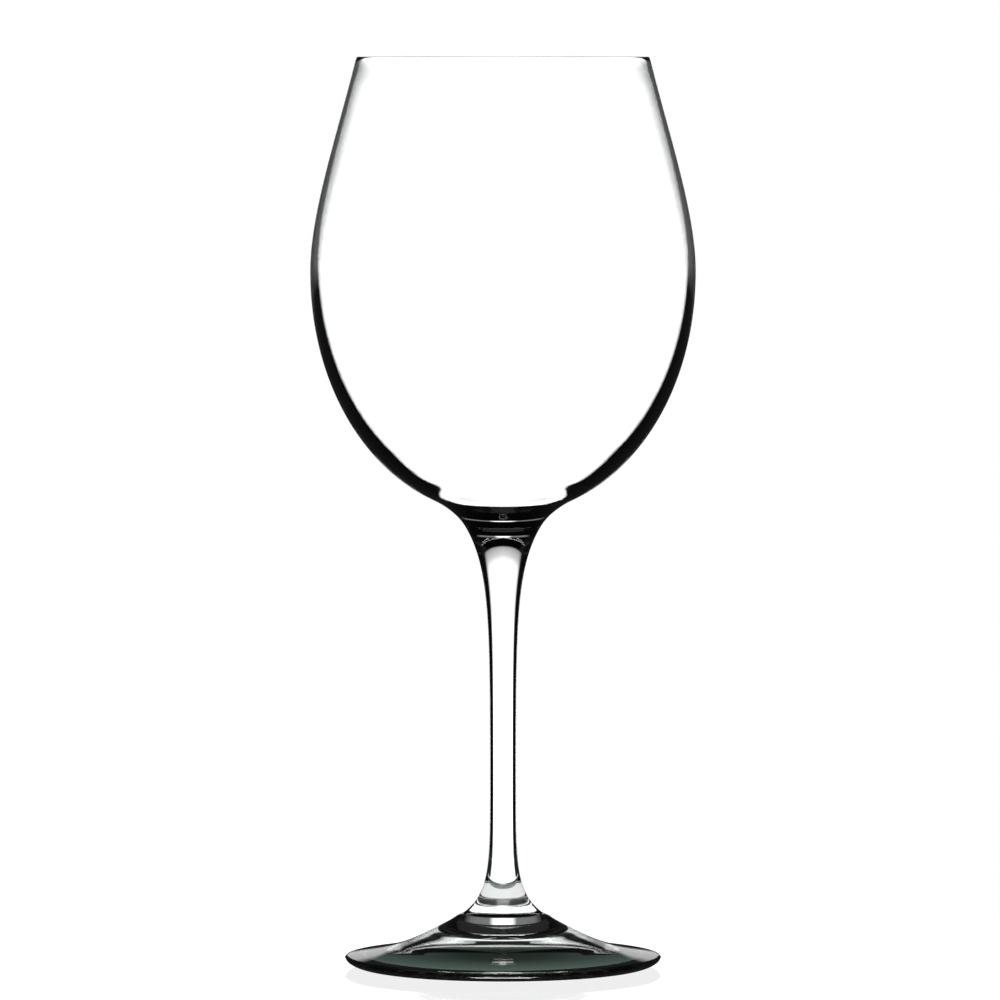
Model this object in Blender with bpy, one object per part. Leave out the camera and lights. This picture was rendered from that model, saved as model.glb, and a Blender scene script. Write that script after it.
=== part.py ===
"""Stemmed wine glass: bowl, stem and foot, three turned solids of clear glass.

The glass stands on Z = 0 with its axis on +Z.  Each piece is a closed turned
profile: half an outline in the XZ plane, swept once round the axis by a Screw
modifier.  All lengths are in metres.

The real pieces are fused together hot, so nothing moves.  Each seam keeps a
small fitting gap here, because the solids are faceted.
"""
import math

import bpy

# ---------------------------------------------------------------- dimensions
TOTAL_HEIGHT = 0.2350

# bowl, outside
RIM_RADIUS = 0.0377            # outer radius at the lip
RIM_LEAN = math.radians(14.0)  # how far the wall leans in at the lip
SHOULDER_HANDLE = 0.0150       # fullness of the wall just above the belly
LIP_HANDLE = 0.0210            # length of the straight run under the lip
BELLY_RADIUS = 0.04965         # widest radius
BELLY_HEIGHT = 0.1798          # height of the widest point
BELLY_DEPTH = 0.0630           # from the widest point to the foot of its curve
BELLY_POWER = 2.05             # 2 is an ellipse; above 2 is slightly fuller

# bowl, wall thickness from the lip to the bottom
LIP_WALL = 0.0009
BELLY_WALL = 0.0018
BASE_WALL = 0.0034
WALL_TURN_HEIGHT = 0.1300      # below this height the wall keeps BASE_WALL
INNER_BOTTOM_HEIGHT = 0.1186   # lowest point of the inside, on the axis
INNER_TURN_HEIGHT = 0.1216     # below this height the inside leaves the outside's curve

# boss under the bowl, where it flares down to meet the stem
BOSS_START_RADIUS = 0.0178
SEAM_RADIUS = 0.0098
SEAM_HEIGHT = 0.1140           # height of the seam's outer edge
SEAM_SAG = 0.0012              # how far the seam dips at its middle

# stem
STEM_WAIST_RADIUS = 0.00332
STEM_TOP_REACH = 0.0107        # how quickly the stem flares into the bowl
STEM_FOOT_REACH = 0.0052       # how quickly it flares into the foot
FOOT_SEAM_RADIUS = 0.0103
FOOT_SEAM_HEIGHT = 0.0138

# foot
FOOT_RADIUS = 0.0409
FOOT_EDGE_HEIGHT = 0.0024      # height of the widest line of the foot
CONTACT_OUTER_RADIUS = 0.0362  # outer edge of the ring that stands on the table
CONTACT_INNER_RADIUS = 0.0352
# The underside, as radius and height: it climbs under the cone, keeping the
# glass a few millimetres thick, to a low ridge, and dips a little in the middle.
UNDERSIDE = ((0.0342, 0.0005), (0.0300, 0.00185), (0.0260, 0.0030), (0.0220, 0.0046),
             (0.0180, 0.0064), (0.0150, 0.0077), (0.0140, 0.0078), (0.0100, 0.0072),
             (0.0050, 0.0067), (0.0, 0.0066))
SHOULDER_SLOPE = math.radians(29.0)
EDGE_SLOPE = math.radians(9.0)

FIT_GAP = 0.0003
WELD = 0.00001                 # merge distance on the axis

BOWL_STEPS = 56
STEM_STEPS = 36
FOOT_STEPS = 56

GLASS_TINT = (0.93, 0.96, 0.94, 1.0)
GLASS_IOR = 1.52


# ------------------------------------------------------------------- curves
def bezier(p0, p1, p2, p3, count):
    """Points of a cubic Bezier, both ends included."""
    points = []
    for i in range(count + 1):
        t = i / count
        s = 1.0 - t
        points.append(tuple(
            s * s * s * a + 3.0 * s * s * t * b + 3.0 * s * t * t * c + t * t * t * d
            for a, b, c, d in zip(p0, p1, p2, p3)))
    return points


def belly_radius(z):
    """Outer radius of the lower bowl at height z."""
    drop = min(max((BELLY_HEIGHT - z) / BELLY_DEPTH, 0.0), 1.0)
    return BELLY_RADIUS * (1.0 - drop ** BELLY_POWER) ** (1.0 / BELLY_POWER)


def belly_height(r):
    """Height of the lower bowl's outside at radius r."""
    share = min(r / BELLY_RADIUS, 1.0)
    return BELLY_HEIGHT - BELLY_DEPTH * (1.0 - share ** BELLY_POWER) ** (1.0 / BELLY_POWER)


def wall_at(z):
    """Wall thickness of the bowl at height z."""
    if z >= BELLY_HEIGHT:
        t = (z - BELLY_HEIGHT) / (TOTAL_HEIGHT - BELLY_HEIGHT)
        return BELLY_WALL + (LIP_WALL - BELLY_WALL) * (1.0 - (1.0 - t) ** 2)
    t = (BELLY_HEIGHT - z) / (BELLY_HEIGHT - WALL_TURN_HEIGHT)
    return BELLY_WALL + (BASE_WALL - BELLY_WALL) * min(t, 1.0)


def stem_radius(z):
    """Outer radius of the stem: a waist with a flare at each end."""
    top = (SEAM_RADIUS - STEM_WAIST_RADIUS) * math.exp((z - SEAM_HEIGHT) / STEM_TOP_REACH)
    low = (FOOT_SEAM_RADIUS - STEM_WAIST_RADIUS) * math.exp(
        (FOOT_SEAM_HEIGHT - z) / STEM_FOOT_REACH)
    return STEM_WAIST_RADIUS + top + low


def seam_dish(r):
    """Height of the dished seam between the bowl and the stem."""
    return SEAM_HEIGHT - SEAM_SAG * (1.0 - (r / SEAM_RADIUS) ** 2)


# ----------------------------------------------------------------- outlines
def bowl_outer():
    """Outside of the bowl, lip to belly to boss."""
    lean = (math.sin(RIM_LEAN), math.cos(RIM_LEAN))
    upper = bezier((RIM_RADIUS, TOTAL_HEIGHT),
                   (RIM_RADIUS + LIP_HANDLE * lean[0], TOTAL_HEIGHT - LIP_HANDLE * lean[1]),
                   (BELLY_RADIUS, BELLY_HEIGHT + SHOULDER_HANDLE),
                   (BELLY_RADIUS, BELLY_HEIGHT), 10)
    start_angle = math.acos(BOSS_START_RADIUS / BELLY_RADIUS)
    lower = []
    for i in range(1, 15):
        r = BELLY_RADIUS * math.cos(start_angle * i / 14.0)
        lower.append((r, belly_height(r)))
    step = 0.0001
    slope = (belly_height(BOSS_START_RADIUS + step)
             - belly_height(BOSS_START_RADIUS - step)) / (2.0 * step)
    stem_lean = (SEAM_RADIUS - stem_radius(SEAM_HEIGHT - 0.001)) / 0.001
    size = math.hypot(stem_lean, 1.0)
    boss = bezier((BOSS_START_RADIUS, belly_height(BOSS_START_RADIUS)),
                  (BOSS_START_RADIUS - 0.0035, belly_height(BOSS_START_RADIUS) - 0.0035 * slope),
                  (SEAM_RADIUS + 0.0028 * stem_lean / size, SEAM_HEIGHT + 0.0028 / size),
                  (SEAM_RADIUS, SEAM_HEIGHT), 6)
    return upper + lower + boss[1:]


def bowl_profile():
    """Closed outline of the bowl, from the lip down the outside, back up inside."""
    outer = bowl_outer()
    inner = []
    for i in range(1, len(outer) - 1):
        r, z = outer[i]
        if z < INNER_TURN_HEIGHT:
            break
        along = (outer[i + 1][0] - outer[i - 1][0], outer[i + 1][1] - outer[i - 1][1])
        size = math.hypot(*along)
        wall = wall_at(z)
        inner.append((r + along[1] / size * wall, z - along[0] / size * wall))
    last, before = inner[-1], inner[-2]
    run = math.hypot(last[0] - before[0], last[1] - before[1])
    reach = last[0] * 0.50
    end = (0.0, INNER_BOTTOM_HEIGHT)
    bottom = bezier(last,
                    (last[0] + (last[0] - before[0]) / run * reach,
                     last[1] + (last[1] - before[1]) / run * reach),
                    (last[0] * 0.30, INNER_BOTTOM_HEIGHT), end, 7)
    inner += bottom[1:]

    lean = (math.sin(RIM_LEAN), math.cos(RIM_LEAN))
    half = LIP_WALL / 2.0
    middle = (RIM_RADIUS - half * lean[1], TOTAL_HEIGHT - half)
    lip = []
    for i in range(5):
        a = math.pi * i / 4.0
        across, up = math.cos(a) * half, math.sin(a) * half
        lip.append((middle[0] + across * lean[1] - up * lean[0],
                    middle[1] + across * lean[0] + up * lean[1]))
    top = max(p[1] for p in lip)
    lip = [(r, z + TOTAL_HEIGHT - top) for r, z in lip]

    seam = [(SEAM_RADIUS * s, seam_dish(SEAM_RADIUS * s)) for s in (0.66, 0.33, 0.0)]
    # the outline starts at the middle of the inside and ends under the boss
    outline = list(reversed(inner)) + list(reversed(lip)) + outer[1:] + seam
    return outline


def stem_profile():
    """Closed outline of the stem, dished at the top and level at the bottom."""
    outline = []
    drop = FIT_GAP
    for s in (0.0, 0.33, 0.66):
        outline.append((SEAM_RADIUS * s, seam_dish(SEAM_RADIUS * s) - drop))
    top, low = SEAM_HEIGHT - drop, FOOT_SEAM_HEIGHT
    count = 26
    for i in range(count + 1):
        # rows crowd towards both flares
        t = i / count
        z = top + (low - top) * (t - 0.75 * math.sin(2.0 * math.pi * t) / (2.0 * math.pi))
        outline.append((stem_radius(z), z))
    outline.append((0.0, low))
    return outline


def foot_profile():
    """Closed outline of the foot: cone, rounded edge, standing ring, hollow."""
    seam_z = FOOT_SEAM_HEIGHT - FIT_GAP
    outline = [(0.0, seam_z)]
    top = bezier((FOOT_SEAM_RADIUS, seam_z),
                 (FOOT_SEAM_RADIUS + 0.0172 * math.cos(SHOULDER_SLOPE),
                  seam_z - 0.0172 * math.sin(SHOULDER_SLOPE)),
                 (FOOT_RADIUS - 0.0004 - 0.0136 * math.cos(EDGE_SLOPE),
                  FOOT_EDGE_HEIGHT + 0.0004 + 0.0136 * math.sin(EDGE_SLOPE)),
                 (FOOT_RADIUS - 0.0004, FOOT_EDGE_HEIGHT + 0.0004), 12)
    outline += top
    outline.append((FOOT_RADIUS, FOOT_EDGE_HEIGHT))
    outline += bezier((FOOT_RADIUS, FOOT_EDGE_HEIGHT),
                      (FOOT_RADIUS - 0.0002, FOOT_EDGE_HEIGHT - 0.0012),
                      (CONTACT_OUTER_RADIUS + 0.0020, 0.0),
                      (CONTACT_OUTER_RADIUS, 0.0), 4)[1:]
    outline.append((CONTACT_INNER_RADIUS, 0.0))
    outline += UNDERSIDE
    return outline


# ------------------------------------------------------------------- build
def clear_scene():
    for item in list(bpy.data.objects):
        bpy.data.objects.remove(item, do_unlink=True)


def glass_material(name):
    material = bpy.data.materials.new(name)
    material.use_nodes = True
    shader = material.node_tree.nodes["Principled BSDF"]
    shader.inputs["Base Color"].default_value = GLASS_TINT
    shader.inputs["Metallic"].default_value = 0.0
    shader.inputs["Roughness"].default_value = 0.02
    shader.inputs["IOR"].default_value = GLASS_IOR
    shader.inputs["Transmission Weight"].default_value = 1.0
    material.diffuse_color = GLASS_TINT
    return material


def turned(name, outline, steps, parent):
    """A closed solid: the outline swept once round the Z axis."""
    mesh = bpy.data.meshes.new(name)
    mesh.from_pydata([(r, 0.0, z) for r, z in outline],
                     [(i, i + 1) for i in range(len(outline) - 1)], [])
    mesh.update()
    piece = bpy.data.objects.new(name, mesh)
    bpy.context.scene.collection.objects.link(piece)
    piece.parent = parent
    screw = piece.modifiers.new("Turn", "SCREW")
    screw.axis = "Z"
    screw.angle = 2.0 * math.pi
    screw.steps = steps
    screw.render_steps = steps
    screw.use_merge_vertices = True
    screw.merge_threshold = WELD
    screw.use_smooth_shade = True
    mesh.materials.append(glass_material(name + "_glass"))
    return piece


def main():
    clear_scene()
    root = bpy.data.objects.new("wine_glass", None)
    bpy.context.scene.collection.objects.link(root)
    turned("bowl", bowl_profile(), BOWL_STEPS, root)
    turned("stem", stem_profile(), STEM_STEPS, root)
    turned("foot", foot_profile(), FOOT_STEPS, root)


main()
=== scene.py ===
import math

import bmesh
import bpy
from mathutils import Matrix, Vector


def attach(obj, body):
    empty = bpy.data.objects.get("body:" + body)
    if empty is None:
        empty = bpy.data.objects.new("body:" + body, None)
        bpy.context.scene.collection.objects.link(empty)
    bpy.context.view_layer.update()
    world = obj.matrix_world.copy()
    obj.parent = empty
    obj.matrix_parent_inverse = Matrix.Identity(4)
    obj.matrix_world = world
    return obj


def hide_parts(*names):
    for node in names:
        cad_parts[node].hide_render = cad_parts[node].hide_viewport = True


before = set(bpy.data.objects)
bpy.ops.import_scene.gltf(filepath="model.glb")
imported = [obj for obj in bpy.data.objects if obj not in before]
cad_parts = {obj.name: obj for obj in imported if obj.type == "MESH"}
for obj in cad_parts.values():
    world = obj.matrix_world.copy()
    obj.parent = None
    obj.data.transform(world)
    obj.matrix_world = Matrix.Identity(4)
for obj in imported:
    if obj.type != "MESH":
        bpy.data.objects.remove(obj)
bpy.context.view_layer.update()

# ---------------------------------------------------------------- dimensions
TOTAL_HEIGHT = 0.2350

RIM_RADIUS = 0.0377
RIM_LEAN = math.radians(14.0)
SHOULDER_HANDLE = 0.0150
LIP_HANDLE = 0.0210
BELLY_RADIUS = 0.04965
BELLY_HEIGHT = 0.1798
BELLY_DEPTH = 0.0630
BELLY_POWER = 2.05

LIP_WALL = 0.0009
BELLY_WALL = 0.0018
BASE_WALL = 0.0034
WALL_TURN_HEIGHT = 0.1300
INNER_BOTTOM_HEIGHT = 0.1186
INNER_TURN_HEIGHT = 0.1216
INNER_RUN = 0.50
INNER_FLAT = 0.30

BOSS_START_RADIUS = 0.0178
SEAM_RADIUS = 0.0098
SEAM_HEIGHT = 0.1140
SEAM_SAG = 0.0012

STEM_WAIST_RADIUS = 0.00332
STEM_TOP_REACH = 0.0107
STEM_FOOT_REACH = 0.0052
FOOT_SEAM_RADIUS = 0.0103
FOOT_SEAM_HEIGHT = 0.0138

FOOT_RADIUS = 0.0409
FOOT_EDGE_HEIGHT = 0.0024
CONTACT_OUTER_RADIUS = 0.0362
CONTACT_INNER_RADIUS = 0.0352
HOLLOW = ((0.0342, 0.0005), (0.0320, 0.00125), (0.0300, 0.00185), (0.0280, 0.0024), (0.0260, 0.0030), (0.0240, 0.00375), (0.0220, 0.0046), (0.0200, 0.0055), (0.0180, 0.0064), (0.0165, 0.0071), (0.0150, 0.0077), (0.0140, 0.0078), (0.0100, 0.0072), (0.0050, 0.0067), (0.0, 0.0066))
SHOULDER_SLOPE = math.radians(29.0)
EDGE_SLOPE = math.radians(9.0)

SEAM_GAP = 0.00002            # the pieces only just part at the seams
SEGMENTS = 256
DENSITY = 5

GLASS_IOR = 1.52

# ------------------------------------------------------------------- camera
CAMERA_DISTANCE = 2.10
CAMERA_HEIGHT = 0.235
METRES_PER_PIXEL = 0.235 / 910.7
AXIS_PIXEL = 503.0
BASE_PIXEL = 968.0

# -------------------------------------------------------------------- light
FLOOR_RADIUS = 0.17
FLOOR_ALBEDO = 0.30
FLOOR_GLOW = 0.84
FLOOR_SHEEN = 0.30
FLOOR_GLOSS = 0.05
# painted light: the floor glows this strongly for rays that reach it through the glass, instead of being lit by the
# lamps
FLOOR_PAINTED_GLOW = 1.60
# painted shade: the floor seen through fewer than four glass walls is painted dark between 38 and 72 degrees from
# straight behind the glass, on both sides
FLOOR_PAINTED_SHADE_AROUND = ((0, 1), (34, 1), (38, 0.01), (72, 0.01), (76, 1), (180, 1))
FLOOR_REFLECTED_PAINTED_DARK = 0.02           # painted shade: the floor is painted nearly black where the glass's own reflections find it
FLOOR_SKIRT_PAINTED_LIGHT = 1.0             # painted light: the floor is painted full bright where those reflections come through the skirt of the stem
# painted contact shadow: the floor seen through the glass is painted dark under the foot, out to 38 mm from the axis
FLOOR_SHADE = ((0, 0.012), (0.012, 0.018), (0.024, 0.05), (0.034, 0.09), (0.0365, 0.12), (0.038, 1), (0.17, 1))
# painted green tint in the painted shade under the foot
SHADE_TINT = (0.66, 1.0, 0.84)
BACKDROP = 1.0
AROUND = ((0, 4), (30, 3), (36, 1.5), (39, 0), (72, 0), (76, 2), (180, 2))
UPDOWN = ((-90, 0), (-35, 0), (-28, 1), (-5, 1), (-1, 0.6), (2, 0.45), (12, 0.40), (17, 0.2), (23, 0.12), (24.5, 0), (30, 0), (90, 0))
AROUND_INNER = ((0, 1.6), (6, 1.4), (10, 0.22), (28, 0.20), (40, 0), (180, 0))
UPDOWN_INNER = ((-90, 0), (-7, 0), (-5, 1), (10, 1), (14, 0.03), (90, 0))
AROUND_GLANCE = ((0, 0.02), (60, 0.02), (110, 0.3), (150, 0.8), (180, 0.8))
AROUND_SHEEN = ((0, 0.9), (4.5, 0.9), (6, 0), (180, 0))
UPDOWN_SHEEN = ((-90, 0), (1, 0), (4, 1), (11, 1), (14, 0), (90, 0))
AROUND_SKIRT = ((0, 3), (42, 3), (46, 0), (180, 0))
UPDOWN_SKIRT = ((-90, 0), (20, 0), (22, 1), (31, 1), (33, 0), (90, 0))
AROUND_WIDE = ((0, 0), (38, 0), (42, 2), (180, 2))
UPDOWN_WIDE = ((-90, 0), (-50, 0), (-45, 1), (-22, 1), (-20, 0), (90, 0))
INNER_BOUNCES = 1.5           # light that has been round the inside more often than this is spent


# ------------------------------------------------------------------- curves
def bezier(p0, p1, p2, p3, count):
    points = []
    for i in range(count + 1):
        t = i / count
        s = 1.0 - t
        points.append(tuple(
            s * s * s * a + 3.0 * s * s * t * b + 3.0 * s * t * t * c + t * t * t * d
            for a, b, c, d in zip(p0, p1, p2, p3)))
    return points


def belly_height(r):
    share = min(r / BELLY_RADIUS, 1.0)
    return BELLY_HEIGHT - BELLY_DEPTH * (1.0 - share ** BELLY_POWER) ** (1.0 / BELLY_POWER)


def wall_at(z):
    if z >= BELLY_HEIGHT:
        t = (z - BELLY_HEIGHT) / (TOTAL_HEIGHT - BELLY_HEIGHT)
        return BELLY_WALL + (LIP_WALL - BELLY_WALL) * (1.0 - (1.0 - t) ** 2)
    t = (BELLY_HEIGHT - z) / (BELLY_HEIGHT - WALL_TURN_HEIGHT)
    return BELLY_WALL + (BASE_WALL - BELLY_WALL) * min(t, 1.0)


def stem_radius(z):
    top = (SEAM_RADIUS - STEM_WAIST_RADIUS) * math.exp((z - SEAM_HEIGHT) / STEM_TOP_REACH)
    low = (FOOT_SEAM_RADIUS - STEM_WAIST_RADIUS) * math.exp(
        (FOOT_SEAM_HEIGHT - z) / STEM_FOOT_REACH)
    return STEM_WAIST_RADIUS + top + low


def seam_dish(r):
    return SEAM_HEIGHT - SEAM_SAG * (1.0 - (r / SEAM_RADIUS) ** 2)


def bowl_outer():
    lean = (math.sin(RIM_LEAN), math.cos(RIM_LEAN))
    upper = bezier((RIM_RADIUS, TOTAL_HEIGHT),
                   (RIM_RADIUS + LIP_HANDLE * lean[0], TOTAL_HEIGHT - LIP_HANDLE * lean[1]),
                   (BELLY_RADIUS, BELLY_HEIGHT + SHOULDER_HANDLE),
                   (BELLY_RADIUS, BELLY_HEIGHT), 10)
    start_angle = math.acos(BOSS_START_RADIUS / BELLY_RADIUS)
    lower = []
    for i in range(1, 15):
        r = BELLY_RADIUS * math.cos(start_angle * i / 14.0)
        lower.append((r, belly_height(r)))
    step = 0.0001
    slope = (belly_height(BOSS_START_RADIUS + step)
             - belly_height(BOSS_START_RADIUS - step)) / (2.0 * step)
    stem_lean = (SEAM_RADIUS - stem_radius(SEAM_HEIGHT - 0.001)) / 0.001
    size = math.hypot(stem_lean, 1.0)
    boss = bezier((BOSS_START_RADIUS, belly_height(BOSS_START_RADIUS)),
                  (BOSS_START_RADIUS - 0.0035, belly_height(BOSS_START_RADIUS) - 0.0035 * slope),
                  (SEAM_RADIUS + 0.0028 * stem_lean / size, SEAM_HEIGHT + 0.0028 / size),
                  (SEAM_RADIUS, SEAM_HEIGHT), 6)
    return upper + lower + boss[1:]


def bowl_outline():
    outer = bowl_outer()
    inner = []
    for i in range(1, len(outer) - 1):
        r, z = outer[i]
        if z < INNER_TURN_HEIGHT:
            break
        along = (outer[i + 1][0] - outer[i - 1][0], outer[i + 1][1] - outer[i - 1][1])
        size = math.hypot(*along)
        wall = wall_at(z)
        inner.append((r + along[1] / size * wall, z - along[0] / size * wall))
    last, before = inner[-1], inner[-2]
    run = math.hypot(last[0] - before[0], last[1] - before[1])
    reach = last[0] * INNER_RUN
    bottom = bezier(last,
                    (last[0] + (last[0] - before[0]) / run * reach,
                     last[1] + (last[1] - before[1]) / run * reach),
                    (last[0] * INNER_FLAT, INNER_BOTTOM_HEIGHT), (0.0, INNER_BOTTOM_HEIGHT), 7)
    inner += bottom[1:]

    lean = (math.sin(RIM_LEAN), math.cos(RIM_LEAN))
    half = LIP_WALL / 2.0
    middle = (RIM_RADIUS - half * lean[1], TOTAL_HEIGHT - half)
    lip = []
    for i in range(5):
        a = math.pi * i / 4.0
        across, up = math.cos(a) * half, math.sin(a) * half
        lip.append((middle[0] + across * lean[1] - up * lean[0],
                    middle[1] + across * lean[0] + up * lean[1]))
    top = max(p[1] for p in lip)
    lip = [(r, z + TOTAL_HEIGHT - top) for r, z in lip]
    seam = [(SEAM_RADIUS * s, seam_dish(SEAM_RADIUS * s)) for s in (0.66, 0.33, 0.0)]
    return list(reversed(inner)) + list(reversed(lip)) + outer[1:] + seam


def stem_outline():
    outline = [(SEAM_RADIUS * s, seam_dish(SEAM_RADIUS * s) - SEAM_GAP) for s in (0.0, 0.33, 0.66)]
    top, low = SEAM_HEIGHT - SEAM_GAP, FOOT_SEAM_HEIGHT
    for i in range(27):
        t = i / 26.0
        z = top + (low - top) * (t - 0.75 * math.sin(2.0 * math.pi * t) / (2.0 * math.pi))
        outline.append((stem_radius(z), z))
    outline.append((0.0, low))
    return outline


def foot_outline():
    seam_z = FOOT_SEAM_HEIGHT - SEAM_GAP
    outline = [(0.0, seam_z)]
    outline += bezier((FOOT_SEAM_RADIUS, seam_z),
                      (FOOT_SEAM_RADIUS + 0.0172 * math.cos(SHOULDER_SLOPE),
                       seam_z - 0.0172 * math.sin(SHOULDER_SLOPE)),
                      (FOOT_RADIUS - 0.0004 - 0.0136 * math.cos(EDGE_SLOPE),
                       FOOT_EDGE_HEIGHT + 0.0004 + 0.0136 * math.sin(EDGE_SLOPE)),
                      (FOOT_RADIUS - 0.0004, FOOT_EDGE_HEIGHT + 0.0004), 12)
    outline.append((FOOT_RADIUS, FOOT_EDGE_HEIGHT))
    outline += bezier((FOOT_RADIUS, FOOT_EDGE_HEIGHT),
                      (FOOT_RADIUS - 0.0002, FOOT_EDGE_HEIGHT - 0.0012),
                      (CONTACT_OUTER_RADIUS + 0.0020, 0.0),
                      (CONTACT_OUTER_RADIUS, 0.0), 4)[1:]
    outline.append((CONTACT_INNER_RADIUS, 0.0))
    outline += list(HOLLOW)
    return outline


def refine(points, count, corner=35.0):
    """Round an outline with a centripetal spline, keeping its corners."""
    points = [Vector(p) for p in points]
    runs, run = [], [points[0]]
    for i in range(1, len(points) - 1):
        a, b = points[i] - points[i - 1], points[i + 1] - points[i]
        run.append(points[i])
        if math.degrees(a.angle(b)) > corner:
            runs.append(run)
            run = [points[i]]
    run.append(points[-1])
    runs.append(run)
    out = []
    for run in runs:
        if len(run) == 2:
            out += [run[0].lerp(run[1], k / count) for k in range(count)]
            continue
        first = Vector((-run[1].x, run[1].y)) if run[0].x < 1e-9 else 2.0 * run[0] - run[1]
        last = Vector((-run[-2].x, run[-2].y)) if run[-1].x < 1e-9 else 2.0 * run[-1] - run[-2]
        e = [first] + run + [last]
        for i in range(1, len(e) - 2):
            p = e[i - 1:i + 3]
            t = [0.0]
            for a, b in zip(p, p[1:]):
                t.append(t[-1] + max((b - a).length, 1e-9) ** 0.5)
            for k in range(count):
                u = t[1] + (t[2] - t[1]) * k / count
                a = [p[j] * ((t[j + 1] - u) / (t[j + 1] - t[j]))
                     + p[j + 1] * ((u - t[j]) / (t[j + 1] - t[j])) for j in range(3)]
                b = [a[j] * ((t[j + 2] - u) / (t[j + 2] - t[j]))
                     + a[j + 1] * ((u - t[j]) / (t[j + 2] - t[j])) for j in range(2)]
                out.append(b[0] * ((t[2] - u) / (t[2] - t[1])) + b[1] * ((u - t[1]) / (t[2] - t[1])))
    out.append(points[-1])
    return [(max(p.x, 0.0), p.y) for p in out]


def turned(name, outline, material):
    """One closed solid: the outline swept round the Z axis."""
    verts, rings, faces = [], [], []
    for r, z in outline:
        if r < 1e-8:
            rings.append([len(verts)] * SEGMENTS)
            verts.append((0.0, 0.0, z))
        else:
            rings.append(list(range(len(verts), len(verts) + SEGMENTS)))
            verts += [(r * math.cos(2.0 * math.pi * k / SEGMENTS),
                       r * math.sin(2.0 * math.pi * k / SEGMENTS), z) for k in range(SEGMENTS)]
    for a, b in zip(rings, rings[1:]):
        for k in range(SEGMENTS):
            n = (k + 1) % SEGMENTS
            corners = []
            for v in (a[k], a[n], b[n], b[k]):
                if v not in corners:
                    corners.append(v)
            if len(corners) > 2:
                faces.append(corners)
    mesh = bpy.data.meshes.new(name)
    mesh.from_pydata(verts, [], faces)
    mesh.update()
    bm = bmesh.new()
    bm.from_mesh(mesh)
    bmesh.ops.recalc_face_normals(bm, faces=bm.faces)
    bm.to_mesh(mesh)
    bm.free()
    mesh.shade_smooth()
    mesh.set_sharp_from_angle(angle=math.radians(40.0))
    mesh.materials.append(material)
    piece = bpy.data.objects.new(name, mesh)
    bpy.context.scene.collection.objects.link(piece)
    return piece


# ---------------------------------------------------------------- materials
def math_node(tree, operation, a, b=None, clamp=False):
    node = tree.nodes.new("ShaderNodeMath")
    node.operation = operation
    node.use_clamp = clamp
    for socket, value in zip(node.inputs, (a, b)):
        if value is None:
            continue
        if isinstance(value, (int, float)):
            socket.default_value = value
        else:
            tree.links.new(value, socket)
    return node.outputs[0]


def pick(tree, factor, a, b):
    node = tree.nodes.new("ShaderNodeMix")
    node.data_type = "FLOAT"
    tree.links.new(factor, node.inputs[0])
    for i, value in ((2, a), (3, b)):
        if isinstance(value, (int, float)):
            node.inputs[i].default_value = value
        else:
            tree.links.new(value, node.inputs[i])
    return node.outputs[0]


def ramp(tree, value, stops):
    """A piecewise linear function of one number."""
    low, high = stops[0][0], stops[-1][0]
    peak = max(v for _, v in stops) or 1.0
    share = math_node(tree, "DIVIDE", math_node(tree, "SUBTRACT", value, low), high - low, clamp=True)
    node = tree.nodes.new("ShaderNodeFloatCurve")
    node.mapping.use_clip = False
    tree.links.new(share, node.inputs["Value"])
    curve = node.mapping.curves[0]
    curve.points[0].location = (0.0, stops[0][1] / peak)
    curve.points[1].location = (1.0, stops[-1][1] / peak)
    for x, v in stops[1:-1]:
        curve.points.new((x - low) / (high - low), v / peak)
    for point in curve.points:
        point.handle_type = "VECTOR"
    node.mapping.update()
    return math_node(tree, "MULTIPLY", node.outputs[0], peak)


def glass(name, deep, scale):
    """Clear soda-lime glass: a faint cool tint that drifts, and a polish that isn't quite even."""
    material = bpy.data.materials.new(name)
    material.use_nodes = True
    tree = material.node_tree
    shader = tree.nodes["Principled BSDF"]
    shader.inputs["Metallic"].default_value = 0.0
    shader.inputs["IOR"].default_value = GLASS_IOR
    shader.inputs["Transmission Weight"].default_value = 1.0
    place = tree.nodes.new("ShaderNodeTexCoord")
    drift = tree.nodes.new("ShaderNodeTexNoise")
    drift.inputs["Scale"].default_value = scale
    drift.inputs["Detail"].default_value = 2.0
    tree.links.new(place.outputs["Object"], drift.inputs["Vector"])
    tint = tree.nodes.new("ShaderNodeValToRGB")
    tint.color_ramp.elements[0].position = 0.3
    tint.color_ramp.elements[0].color = (*deep, 1.0)
    tint.color_ramp.elements[1].position = 0.7
    tint.color_ramp.elements[1].color = (*[min(1.0, c + 0.008) for c in deep], 1.0)
    tree.links.new(drift.outputs["Fac"], tint.inputs["Fac"])
    tree.links.new(tint.outputs["Color"], shader.inputs["Base Color"])
    wipe = tree.nodes.new("ShaderNodeTexNoise")
    wipe.inputs["Scale"].default_value = scale * 4.0
    wipe.inputs["Detail"].default_value = 4.0
    tree.links.new(place.outputs["Object"], wipe.inputs["Vector"])
    polish = tree.nodes.new("ShaderNodeMapRange")
    polish.inputs["To Min"].default_value = 0.0
    polish.inputs["To Max"].default_value = 0.012
    tree.links.new(wipe.outputs["Fac"], polish.inputs["Value"])
    tree.links.new(polish.outputs["Result"], shader.inputs["Roughness"])
    return material


# ------------------------------------------------------------------- pieces
made = (
    ("glass_bowl", "bowl", "bowl_glass", bowl_outline(), (0.982, 0.992, 0.987), 22.0),
    ("glass_stem", "stem", "stem_glass", stem_outline(), (0.980, 0.990, 0.985), 30.0),
    ("glass_foot", "foot", "foot_glass", foot_outline(), (0.962, 0.985, 0.972), 30.0),
)
for name, node, slot, outline, tint, scale in made:
    piece = turned(name, refine(outline, DENSITY), glass(slot + "_look", tint, scale))
    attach(piece, "root")
    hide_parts(node)

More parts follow.
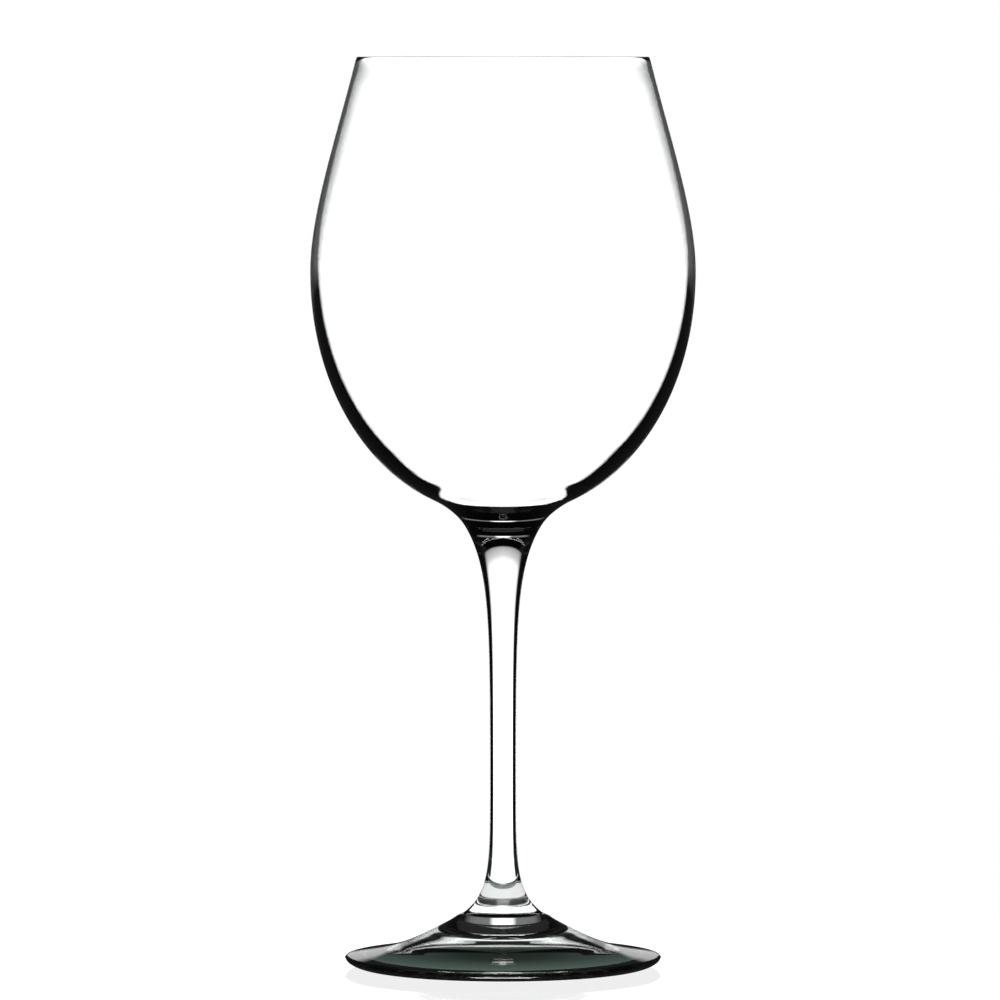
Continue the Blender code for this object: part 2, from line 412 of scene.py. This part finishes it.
# -------------------------------------------------------------------- floor
disc = bpy.data.meshes.new("floor")
disc.from_pydata([(FLOOR_RADIUS * math.cos(2.0 * math.pi * k / 96), FLOOR_RADIUS * math.sin(2.0 * math.pi * k / 96),
                   -0.0001) for k in range(96)], [], [list(range(96))])
floor = bpy.data.objects.new("floor", disc)
bpy.context.scene.collection.objects.link(floor)
paint = bpy.data.materials.new("floor_painted_shade")
paint.use_nodes = True
tree = paint.node_tree
shader = tree.nodes["Principled BSDF"]
shader.inputs["Base Color"].default_value = (FLOOR_ALBEDO, FLOOR_ALBEDO, FLOOR_ALBEDO, 1.0)
shader.inputs["Roughness"].default_value = FLOOR_GLOSS
shader.inputs["Specular IOR Level"].default_value = FLOOR_SHEEN
shader.inputs["Emission Color"].default_value = (1.0, 1.0, 1.0, 1.0)
shader.inputs["Emission Strength"].default_value = FLOOR_GLOW
# Camera rays see the evenly bright floor; every other ray sees an emission that is painted light and shade: a painted
# contact shadow under the foot, painted dark sectors, and painted dark or bright where the glass's reflections find
# it.
rays = tree.nodes.new("ShaderNodeLightPath")
painted_floor_glow = tree.nodes.new("ShaderNodeEmission")
painted_floor_glow.inputs["Color"].default_value = (1.0, 1.0, 1.0, 1.0)
place = tree.nodes.new("ShaderNodeTexCoord")
length = tree.nodes.new("ShaderNodeVectorMath")
length.operation = "LENGTH"
tree.links.new(place.outputs["Object"], length.inputs[0])
walls = math_node(tree, "GREATER_THAN", rays.outputs["Transmission Depth"], 3.5)
# mask for the skirt's painted light: rays through more than three glass walls that reflected once at most
once = math_node(tree, "MULTIPLY", walls, math_node(tree, "LESS_THAN", rays.outputs["Glossy Depth"], 1.5))
split = tree.nodes.new("ShaderNodeSeparateXYZ")
tree.links.new(place.outputs["Object"], split.inputs[0])
turn = math_node(tree, "MULTIPLY", math_node(tree, "ABSOLUTE", math_node(
    tree, "ARCTAN2", split.outputs[0], split.outputs[1])), 180.0 / math.pi)
# painted contact shadow under the foot
shade = ramp(tree, length.outputs["Value"], FLOOR_SHADE)
# painted shade in the side sectors, dropped for rays through more than three glass walls
shade = math_node(tree, "MULTIPLY", shade, math_node(
    tree, "MAXIMUM", walls, ramp(tree, turn, FLOOR_PAINTED_SHADE_AROUND)))
# rays that have reflected off the glass see the floor painted nearly black, or painted full bright through the skirt
# of the stem
glossed = math_node(tree, "GREATER_THAN", rays.outputs["Glossy Depth"], 0.5)
tree.links.new(pick(tree, glossed, math_node(tree, "MULTIPLY", shade, FLOOR_PAINTED_GLOW),
                     pick(tree, once, FLOOR_REFLECTED_PAINTED_DARK, FLOOR_SKIRT_PAINTED_LIGHT)), painted_floor_glow.inputs["Strength"])
# painted green tint where the painted shade is deep, white where the floor is painted bright or seen in reflections
shade_tint_mix = tree.nodes.new("ShaderNodeMix")
shade_tint_mix.data_type = "RGBA"
tree.links.new(math_node(tree, "MAXIMUM", shade, glossed), shade_tint_mix.inputs["Factor"])
shade_tint_mix.inputs[6].default_value = (*SHADE_TINT, 1.0)
shade_tint_mix.inputs[7].default_value = (1.0, 1.0, 1.0, 1.0)
tree.links.new(shade_tint_mix.outputs[2], painted_floor_glow.inputs["Color"])
mix = tree.nodes.new("ShaderNodeMixShader")
tree.links.new(rays.outputs["Is Camera Ray"], mix.inputs[0])
tree.links.new(painted_floor_glow.outputs[0], mix.inputs[1])
tree.links.new(shader.outputs[0], mix.inputs[2])
tree.links.new(mix.outputs[0], tree.nodes["Material Output"].inputs["Surface"])
disc.materials.append(paint)

# -------------------------------------------------------------------- world
world = bpy.data.worlds.new("studio")
bpy.context.scene.world = world
world.use_nodes = True
tree = world.node_tree
tree.nodes.clear()
output = tree.nodes.new("ShaderNodeOutputWorld")
sky = tree.nodes.new("ShaderNodeBackground")
sky.inputs["Color"].default_value = (1.0, 1.0, 1.0, 1.0)
place = tree.nodes.new("ShaderNodeTexCoord")
split = tree.nodes.new("ShaderNodeSeparateXYZ")
tree.links.new(place.outputs["Generated"], split.inputs[0])
turn = math_node(tree, "MULTIPLY", math_node(tree, "ABSOLUTE", math_node(
    tree, "ARCTAN2", split.outputs[0], split.outputs[1])), 180.0 / math.pi)
rise = math_node(tree, "MULTIPLY", math_node(tree, "ARCSINE", split.outputs[2]), 180.0 / math.pi)
rays = tree.nodes.new("ShaderNodeLightPath")
trapped = math_node(tree, "MULTIPLY",
                    math_node(tree, "GREATER_THAN", rays.outputs["Glossy Depth"], 0.5),
                    math_node(tree, "GREATER_THAN", rays.outputs["Transmission Depth"], 0.5))
direct = math_node(tree, "MULTIPLY", ramp(tree, turn, AROUND), ramp(tree, rise, UPDOWN))
walls = math_node(tree, "GREATER_THAN", rays.outputs["Transmission Depth"], 3.5)
wide = math_node(tree, "MAXIMUM", walls, ramp(tree, rise, UPDOWN_WIDE))
direct = math_node(tree, "MAXIMUM", direct, math_node(tree, "MULTIPLY", wide, ramp(tree, turn, AROUND_WIDE)))
inner = math_node(tree, "MULTIPLY", ramp(tree, turn, AROUND_INNER), ramp(tree, rise, UPDOWN_INNER))
glanced = math_node(tree, "MULTIPLY",
                    math_node(tree, "GREATER_THAN", rays.outputs["Glossy Depth"], 0.5),
                    math_node(tree, "LESS_THAN", rays.outputs["Transmission Depth"], 0.5))
skirt = math_node(tree, "MULTIPLY", ramp(tree, turn, AROUND_SKIRT), ramp(tree, rise, UPDOWN_SKIRT))
inner = math_node(tree, "MAXIMUM", inner, math_node(tree, "MULTIPLY", walls, skirt))
spent = math_node(tree, "GREATER_THAN", rays.outputs["Glossy Depth"], INNER_BOUNCES)
light = pick(tree, glanced, pick(tree, spent, pick(tree, trapped, direct, inner), 0.0),
             math_node(tree, "MAXIMUM", ramp(tree, turn, AROUND_GLANCE), math_node(
                 tree, "MULTIPLY", ramp(tree, turn, AROUND_SHEEN), ramp(tree, rise, UPDOWN_SHEEN))))
tree.links.new(pick(tree, rays.outputs["Is Camera Ray"], light, BACKDROP), sky.inputs["Strength"])
tree.links.new(sky.outputs[0], output.inputs[0])

# ------------------------------------------------------------------- camera
lens = bpy.data.cameras.new("camera")
camera = bpy.data.objects.new("camera", lens)
bpy.context.scene.collection.objects.link(camera)
bpy.context.scene.camera = camera
camera.location = (0.0, -CAMERA_DISTANCE, CAMERA_HEIGHT)
aim = Vector(((500.0 - AXIS_PIXEL) * METRES_PER_PIXEL, 0.0, (BASE_PIXEL - 500.0) * METRES_PER_PIXEL)) - camera.location
camera.rotation_mode = "QUATERNION"
camera.rotation_quaternion = aim.to_track_quat("-Z", "Y")
lens.sensor_width = 36.0
lens.lens = 36.0 / (1000.0 * METRES_PER_PIXEL) * aim.length
lens.clip_start = 0.05
lens.clip_end = 20.0

bpy.context.scene.view_settings.view_transform = "Standard"
bpy.context.scene.cycles.max_bounces = 24
bpy.context.scene.cycles.transmission_bounces = 24
bpy.context.scene.cycles.glossy_bounces = 24
